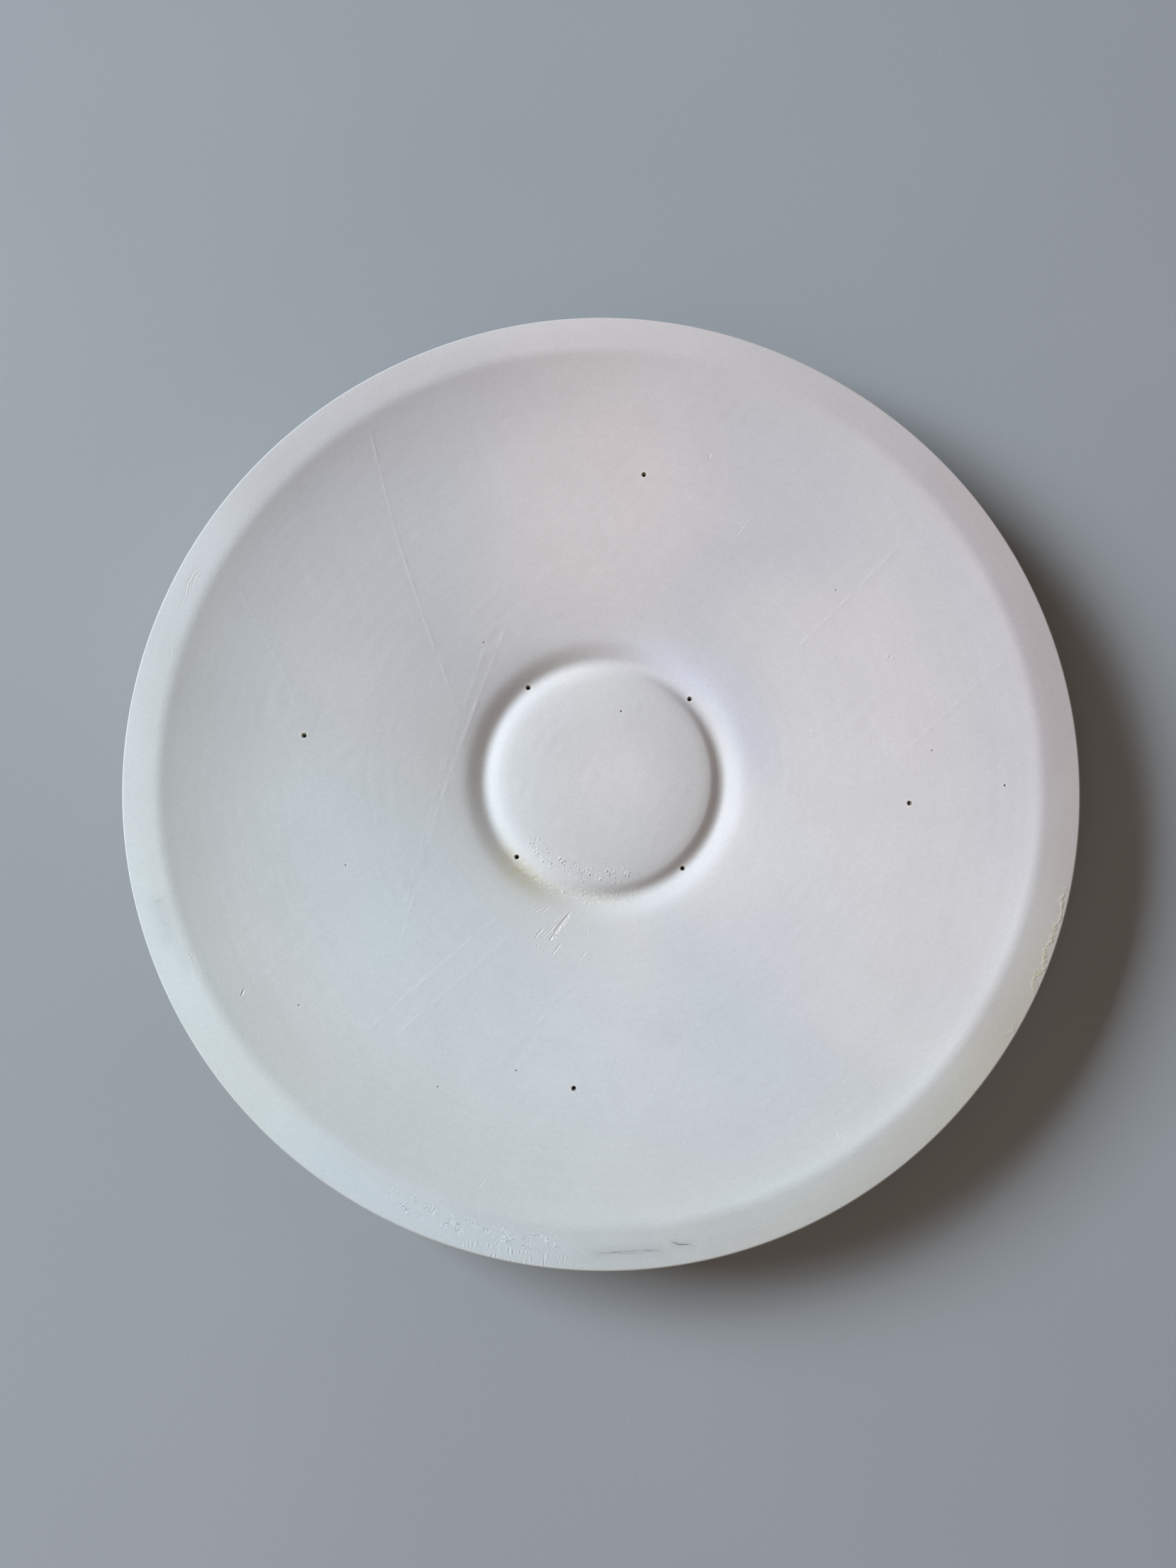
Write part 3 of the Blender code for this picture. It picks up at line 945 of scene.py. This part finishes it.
def ceramic():
    """The bare casting, seen at the wall, from below and down the vents."""
    depth = WASH + GAP
    turning = np.abs(np.gradient(SLOPES, RADII)) + 0.004
    amount = np.cumsum(turning)
    reach = RADII <= OUTER_RADIUS - EDGE_ROUND
    radii = np.interp(np.linspace(amount[0], amount[reach][-1], 60), amount[reach], RADII[reach])
    outline = []
    for radius in radii:
        slope = float(np.interp(radius, RADII, SLOPES))
        level = float(np.interp(radius, RADII, HEIGHTS))
        outline.append((radius + depth * math.sin(slope), level - depth * math.cos(slope)))
    outline[0] = (0.0, outline[0][1])
    outline += edge_line(depth)
    side = OUTER_RADIUS - depth
    low = RIM_EDGE_HEIGHT - WALL + LOWER_EDGE_RISE
    for share in (0.25, 0.5, 0.75):
        outline.append((side, outline[-1][1] + (low + CHAMFER - outline[-1][1]) * share))
    outline += [(side, low + CHAMFER), (side - 0.35, low + 0.35), (side - CHAMFER, low - 0.35)]
    corner = FOOT_OUTER + FOOT_DRAFT
    for radius in np.arange(OUTER_RADIUS - LOWER_EDGE_INSET, corner + 3, -UNDER_STEP):
        turned_marks = 0.05 * math.sin(radius * 1.1) * math.sin(radius * 0.23)
        outline.append((radius, under(radius) + turned_marks))
    outline += [(corner + COVE, under(corner + COVE)), (corner + COVE_MID, under(corner) - 0.5)]
    outline += [(corner, under(corner) - COVE), (FOOT_OUTER, CHAMFER)]
    outline += [(FOOT_OUTER - CHAMFER_MID, CHAMFER_MID), (FOOT_OUTER - CHAMFER, 0.0)]
    outline += [((FOOT_OUTER + FOOT_INNER) / 2, 0.0), (FOOT_INNER + CHAMFER, 0.0)]
    outline += [(FOOT_INNER + CHAMFER_MID, CHAMFER_MID), (FOOT_INNER, CHAMFER)]
    inside = FOOT_INNER - FOOT_DRAFT
    ceiling = under(FOOT_INNER)
    outline += [(inside, ceiling - COVE), (inside - COVE_MID, ceiling - 0.6)]
    outline.append((inside - COVE, ceiling - 0.2))
    slope_down = (ceiling - 0.2 - RECESS_HEIGHT) / (inside - COVE - RECESS_RADIUS)
    for radius in np.arange(inside - 5, RECESS_RADIUS, -UNDER_STEP):
        outline.append((radius, RECESS_HEIGHT + slope_down * (radius - RECESS_RADIUS)))
    for radius in np.arange(RECESS_RADIUS, 4, -4.0):
        outline.append((radius, RECESS_HEIGHT + 0.04 * math.sin(radius * 0.9)))
    outline.append((0.0, RECESS_HEIGHT))
    piece = turned("ceramic_body", outline, CERAMIC_TURNS)
    tools = []
    for vx, vy in VENTS:
        tools.append(rod(VENT_BORE, 80, VENT_SIDES, Matrix.Translation((vx * MM, vy * MM, 20 * MM))))
    for number in range(4):
        spin = Matrix.Rotation(math.radians(BREATHER_TURN + 90 * number), 4, "Z")
        lay = Matrix.Rotation(math.pi / 2, 4, "Y")
        out = Matrix.Translation(((FOOT_OUTER + FOOT_INNER) / 2 * MM, 0, 0))
        tools.append(rod(BREATHER_RADIUS, 2 * BREATHER_REACH, 32, spin @ out @ lay))
    for tool in tools:
        cut = piece.modifiers.new("cut", "BOOLEAN")
        cut.operation = "DIFFERENCE"
        cut.solver = "EXACT"
        cut.object = tool
    ready = piece.evaluated_get(bpy.context.evaluated_depsgraph_get())
    mesh = bpy.data.meshes.new_from_object(ready)
    piece.modifiers.clear()
    piece.data = mesh
    for tool in tools:
        bpy.data.objects.remove(tool)
    mesh.set_sharp_from_angle(angle=math.radians(SHARP_ANGLE))
    return piece


def node(tree, kind, feeds=None, **settings):
    """A shader node; a feed is a socket to link or a value to set."""
    made = tree.nodes.new("ShaderNode" + kind)
    for key, value in settings.items():
        setattr(made, key, value)
    for key, value in (feeds or {}).items():
        if isinstance(value, bpy.types.NodeSocket):
            tree.links.new(value, made.inputs[key])
        else:
            made.inputs[key].default_value = value
    return made


def calc(tree, operation, a, b):
    return node(tree, "Math", {0: a, 1: b}, operation=operation).outputs[0]


def times(tree, a, b):
    return calc(tree, "MULTIPLY", a, b)


def plus(tree, a, b):
    return calc(tree, "ADD", a, b)


def blend(tree, share, a, b, kind="MIX"):
    return node(tree, "Mix", {0: share, 6: a, 7: b}, data_type="RGBA", blend_type=kind).outputs[2]


def noise(tree, where, scale, detail=3.0, roughness=0.5, distortion=0.0):
    feeds = {"Vector": where, "Scale": scale, "Detail": detail}
    feeds |= {"Roughness": roughness, "Distortion": distortion}
    return node(tree, "TexNoise", feeds).outputs[0]


def ranged(tree, value, low, high, to_low=0.0, to_high=1.0):
    feeds = {0: value, 1: low, 2: high, 3: to_low, 4: to_high}
    return node(tree, "MapRange", feeds, interpolation_type="SMOOTHSTEP").outputs[0]


def start_material(name, roughness, specular):
    made = bpy.data.materials.new(name)
    made.use_nodes = True
    tree = made.node_tree
    shader = tree.nodes["Principled BSDF"]
    shader.inputs["Roughness"].default_value = roughness
    shader.inputs["Specular IOR Level"].default_value = specular
    where = node(tree, "TexCoord").outputs["Object"]
    return made, tree, shader, where


def dress(tree, shader, color, level, strength, distance):
    """Link the colour, and the height as a bump."""
    tree.links.new(color, shader.inputs["Base Color"])
    bump = node(tree, "Bump", {"Strength": strength, "Distance": distance, "Height": level})
    tree.links.new(bump.outputs[0], shader.inputs["Normal"])


def mark(tree, name):
    """A mark painted on the points of the wash."""
    return node(tree, "Attribute", attribute_name=name).outputs["Fac"]


# Colours of the wash, the bisque and the floor
COOL_WHITE = (0.735, 0.790, 0.812, 1)
WARM_WHITE = (0.812, 0.782, 0.800, 1)
GREENISH_WHITE = (0.775, 0.815, 0.800, 1)
YELLOWED = (0.70, 0.67, 0.47, 1)
FRESH_WHITE_AND_HIGHLIGHT = (0.90, 0.90, 0.89, 1)
GRAPHITE = (0.20, 0.21, 0.23, 1)
# Near black, painted as the shade inside the holes.
HOLE_SHADE_PAINT = (0.02, 0.018, 0.015, 1)
BISQUE = (0.70, 0.61, 0.46, 1)
BISQUE_PALE = (0.80, 0.73, 0.60, 1)
BISQUE_SAND = (0.60, 0.50, 0.36, 1)
BISQUE_SPECK = (0.30, 0.20, 0.12, 1)
WASH_SMEAR = (0.80, 0.80, 0.78, 1)
FLOOR = (0.395, 0.435, 0.475, 1)
FLOOR_PALE = (0.415, 0.455, 0.495, 1)
FLOOR_SAND = (0.36, 0.40, 0.44, 1)


def wash_material():
    """Matte chalky wash with its tints (partly painted light and shade), streaks, grain, yellowing,
    graphite and fresh scratches; painted shade in the vents and pin holes, and a painted highlight round
    each vent.
    """
    made, tree, shader, where = start_material("release_wash", 0.92, 0.18)
    flat = node(tree, "SeparateXYZ", {0: where})
    x, y = flat.outputs[0], flat.outputs[1]
    radius = node(tree, "VectorMath", {0: where}, operation="LENGTH").outputs["Value"]
    angle = calc(tree, "ARCTAN2", y, x)
    clouds = noise(tree, where, 6.0, 3.0, 0.5, 0.4)
    patches = noise(tree, where, 34.0, 3.0, 0.55)
    far, round_it = times(tree, radius, 260.0), times(tree, angle, 2.2)
    polar = node(tree, "CombineXYZ", {0: far, 1: round_it}).outputs[0]
    streaks = noise(tree, polar, 1.0, 4.0, 0.6, 0.3)
    grain = noise(tree, where, 1400.0, 3.0, 0.7)
    sand = noise(tree, where, 420.0, 4.0, 0.65)

    # Cooler towards the left and warmer towards the right.
    lean = plus(tree, times(tree, x, 0.85), times(tree, y, 0.35))
    lean = plus(tree, lean, times(tree, calc(tree, "SUBTRACT", clouds, 0.5), 0.22))
    warm = ranged(tree, lean, -0.21, 0.16)
    color = blend(tree, warm, COOL_WHITE, WARM_WHITE)
    # Greener towards the bottom.
    low = plus(tree, times(tree, y, -1.0), times(tree, x, -0.35))
    greenish = ranged(tree, low, -0.02, 0.24)
    color = blend(tree, times(tree, greenish, 0.5), color, GREENISH_WHITE)
    # Darker towards the rim.
    rim = ranged(tree, radius, 0.15, 0.247, 1.0, 0.925)
    shade = times(tree, rim, ranged(tree, patches, 0.25, 0.75, 0.985, 1.015))
    shade = times(tree, shade, ranged(tree, streaks, 0.2, 0.8, 0.988, 1.012))
    shade = times(tree, shade, ranged(tree, sand, 0.3, 0.7, 0.987, 1.013))
    shade = times(tree, shade, ranged(tree, grain, 0.25, 0.75, 0.94, 1.06))
    gray = node(tree, "CombineColor", {0: shade, 1: shade, 2: shade}).outputs[0]
    color = blend(tree, 1.0, color, gray, "MULTIPLY")

    # Cloudy tints: partly the wash's own colour, partly painted light and shade.
    tint_and_light = node(tree, "Attribute", attribute_name="tint_and_painted_light").outputs["Color"]
    color = blend(tree, 1.0, color, tint_and_light, "MULTIPLY")
    speckle = ranged(tree, sand, 0.35, 0.65, 0.75, 1.1)
    yellow = times(tree, mark(tree, "stain"), ranged(tree, sand, 0.3, 0.7, 0.88, 1.08))
    color = blend(tree, times(tree, yellow, 0.75), color, YELLOWED)
    # Whiter wash in the scratches, and a painted highlight round the vents.
    color = blend(tree, times(tree, mark(tree, "fresh_wash_and_vent_highlight"), 0.75), color, FRESH_WHITE_AND_HIGHLIGHT)
    graphite = times(tree, mark(tree, "smear"), speckle)
    color = blend(tree, graphite, color, GRAPHITE)
    # Painted shade: near black in the vents and pin holes.
    color = blend(tree, mark(tree, "painted_hole_shade"), color, HOLE_SHADE_PAINT)

    rough = ranged(tree, plus(tree, patches, times(tree, grain, 0.5)), 0.4, 1.1, 0.84, 0.97)
    tree.links.new(calc(tree, "SUBTRACT", rough, times(tree, graphite, 0.35)), shader.inputs["Roughness"])

    relief_sum = plus(tree, times(tree, grain, 0.35), times(tree, sand, 0.8))
    relief_sum = plus(tree, relief_sum, times(tree, streaks, 0.6))
    dress(tree, shader, color, relief_sum, 0.5, 0.0001)
    return made


def bisque_material():
    """Unglazed cream ceramic: speckles, turning lines, and smears of wash high on its wall."""
    made, tree, shader, where = start_material("bisque", 0.85, 0.25)
    flat = node(tree, "SeparateXYZ", {0: where})
    radius = node(tree, "VectorMath", {0: where}, operation="LENGTH").outputs["Value"]
    clouds = noise(tree, where, 14.0, 4.0, 0.55, 0.3)
    sand = noise(tree, where, 520.0, 4.0, 0.7)
    specks = node(tree, "TexVoronoi", {"Vector": where, "Scale": 260.0}).outputs["Distance"]
    rings = noise(tree, node(tree, "CombineXYZ", {0: times(tree, radius, 420.0)}).outputs[0], 1.0, 3.0)
    color = blend(tree, ranged(tree, clouds, 0.3, 0.7), BISQUE, BISQUE_PALE)
    color = blend(tree, ranged(tree, sand, 0.3, 0.7, 0.0, 0.35), color, BISQUE_SAND)
    color = blend(tree, ranged(tree, specks, 0.05, 0.14, 0.75, 0.0), color, BISQUE_SPECK)
    high = ranged(tree, flat.outputs[2], 0.0295, 0.0345)
    splash = times(tree, high, ranged(tree, noise(tree, where, 90.0, 4.0, 0.6), 0.45, 0.62))
    color = blend(tree, times(tree, splash, 0.85), color, WASH_SMEAR)
    tree.links.new(ranged(tree, sand, 0.2, 0.8, 0.78, 0.92), shader.inputs["Roughness"])
    level = plus(tree, sand, times(tree, rings, 0.8))
    dress(tree, shader, color, level, 0.7, 0.00025)
    return made


def floor_material():
    """A plain pale painted surface."""
    made, tree, shader, where = start_material("floor_paint", 0.75, 0.25)
    clouds = noise(tree, where, 3.0, 3.0, 0.5)
    sand = noise(tree, where, 300.0, 3.0, 0.6)
    color = blend(tree, ranged(tree, clouds, 0.3, 0.7), FLOOR, FLOOR_PALE)
    color = blend(tree, ranged(tree, sand, 0.3, 0.7, 0.0, 0.06), color, FLOOR_SAND)
    dress(tree, shader, color, sand, 0.3, 0.0002)
    return made


coat = wash_skin()
coat.data.materials.append(wash_material())
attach(coat, "root")
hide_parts("wash_coat")

body = ceramic()
body.data.materials.clear()
body.data.materials.append(bisque_material())
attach(body, "root")
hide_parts("mould_body")

# Floor
FLOOR_HALF = 3.0
corners = [(-1, -1), (1, -1), (1, 1), (-1, 1)]
floor_mesh = bpy.data.meshes.new("floor")
floor_mesh.from_pydata([(FLOOR_HALF * x, FLOOR_HALF * y, 0) for x, y in corners], [], [(0, 1, 2, 3)])
floor = linked("floor", floor_mesh)
floor.data.materials.append(floor_material())

# Camera, nearly straight above. The eye is in outer radii from the middle of the rim's edge.
LENS = 27.03
SENSOR = 36
EYE = (-0.0637, -0.2722, 2.4414)
LOOK = (0.0125, 0.1031, -0.9946)
UPWARD = (0.0, 0.9947, 0.1031)
camera_data = bpy.data.cameras.new("camera")
camera_data.lens = LENS
camera_data.sensor_width = SENSOR
camera = linked("camera", camera_data)
eye = Vector(EYE) * OUTER_RADIUS * MM + Vector((0, 0, RIM_EDGE_HEIGHT * MM))
forward = Vector(LOOK).normalized()
right = forward.cross(Vector(UPWARD)).normalized()
up = right.cross(forward)
camera.matrix_world = Matrix((
    (right.x, up.x, -forward.x, eye.x),
    (right.y, up.y, -forward.y, eye.y),
    (right.z, up.z, -forward.z, eye.z),
    (0, 0, 0, 1),
))
bpy.context.scene.camera = camera


def lamp(name, azimuth, elevation, distance, wide, tall, energy, color):
    """A soft rectangular light that looks at the middle of the floor."""
    data = bpy.data.lights.new(name, "AREA")
    data.shape = "RECTANGLE"
    data.size = wide
    data.size_y = tall
    data.energy = energy
    data.color = color
    made = linked(name, data)
    a, e = math.radians(azimuth), math.radians(elevation)
    way = Vector((math.cos(a) * math.cos(e), math.sin(a) * math.cos(e), math.sin(e)))
    made.location = way * distance
    made.rotation_euler = way.to_track_quat("Z", "Y").to_euler()


# Name, azimuth, elevation, distance, width, height, watts, colour
LAMPS = (
    ("window", 158, 28.3, 6.0, 3.2, 2.0, 482, (0.86, 0.94, 1.0)),
    ("room", 250, 50, 1.6, 1.2, 1.2, 3.2, (1.0, 0.82, 0.66)),
    ("wall", 65, 40, 1.8, 1.2, 1.2, 2.0, (1.0, 0.86, 0.72)),
)
for values in LAMPS:
    lamp(*values)

# A dim warm surround. Past the floor's edge the camera sees a pale backdrop, which lights nothing.
SURROUND = (1.0, 0.70, 0.54, 1)
SURROUND_STRENGTH = 0.082
BACKDROP = (0.50, 0.53, 0.56, 1)
world = bpy.data.worlds.new("world")
world.use_nodes = True
room = world.node_tree.nodes["Background"]
room.inputs["Color"].default_value = SURROUND
room.inputs["Strength"].default_value = SURROUND_STRENGTH
backdrop = node(world.node_tree, "Background", {"Color": BACKDROP, "Strength": 1.0})
seen = node(world.node_tree, "LightPath").outputs["Is Camera Ray"]
mixed = node(world.node_tree, "MixShader", {0: seen, 1: room.outputs[0], 2: backdrop.outputs[0]})
world.node_tree.links.new(mixed.outputs[0], world.node_tree.nodes["World Output"].inputs["Surface"])
bpy.context.scene.world = world
bpy.context.scene.view_settings.view_transform = "Standard"
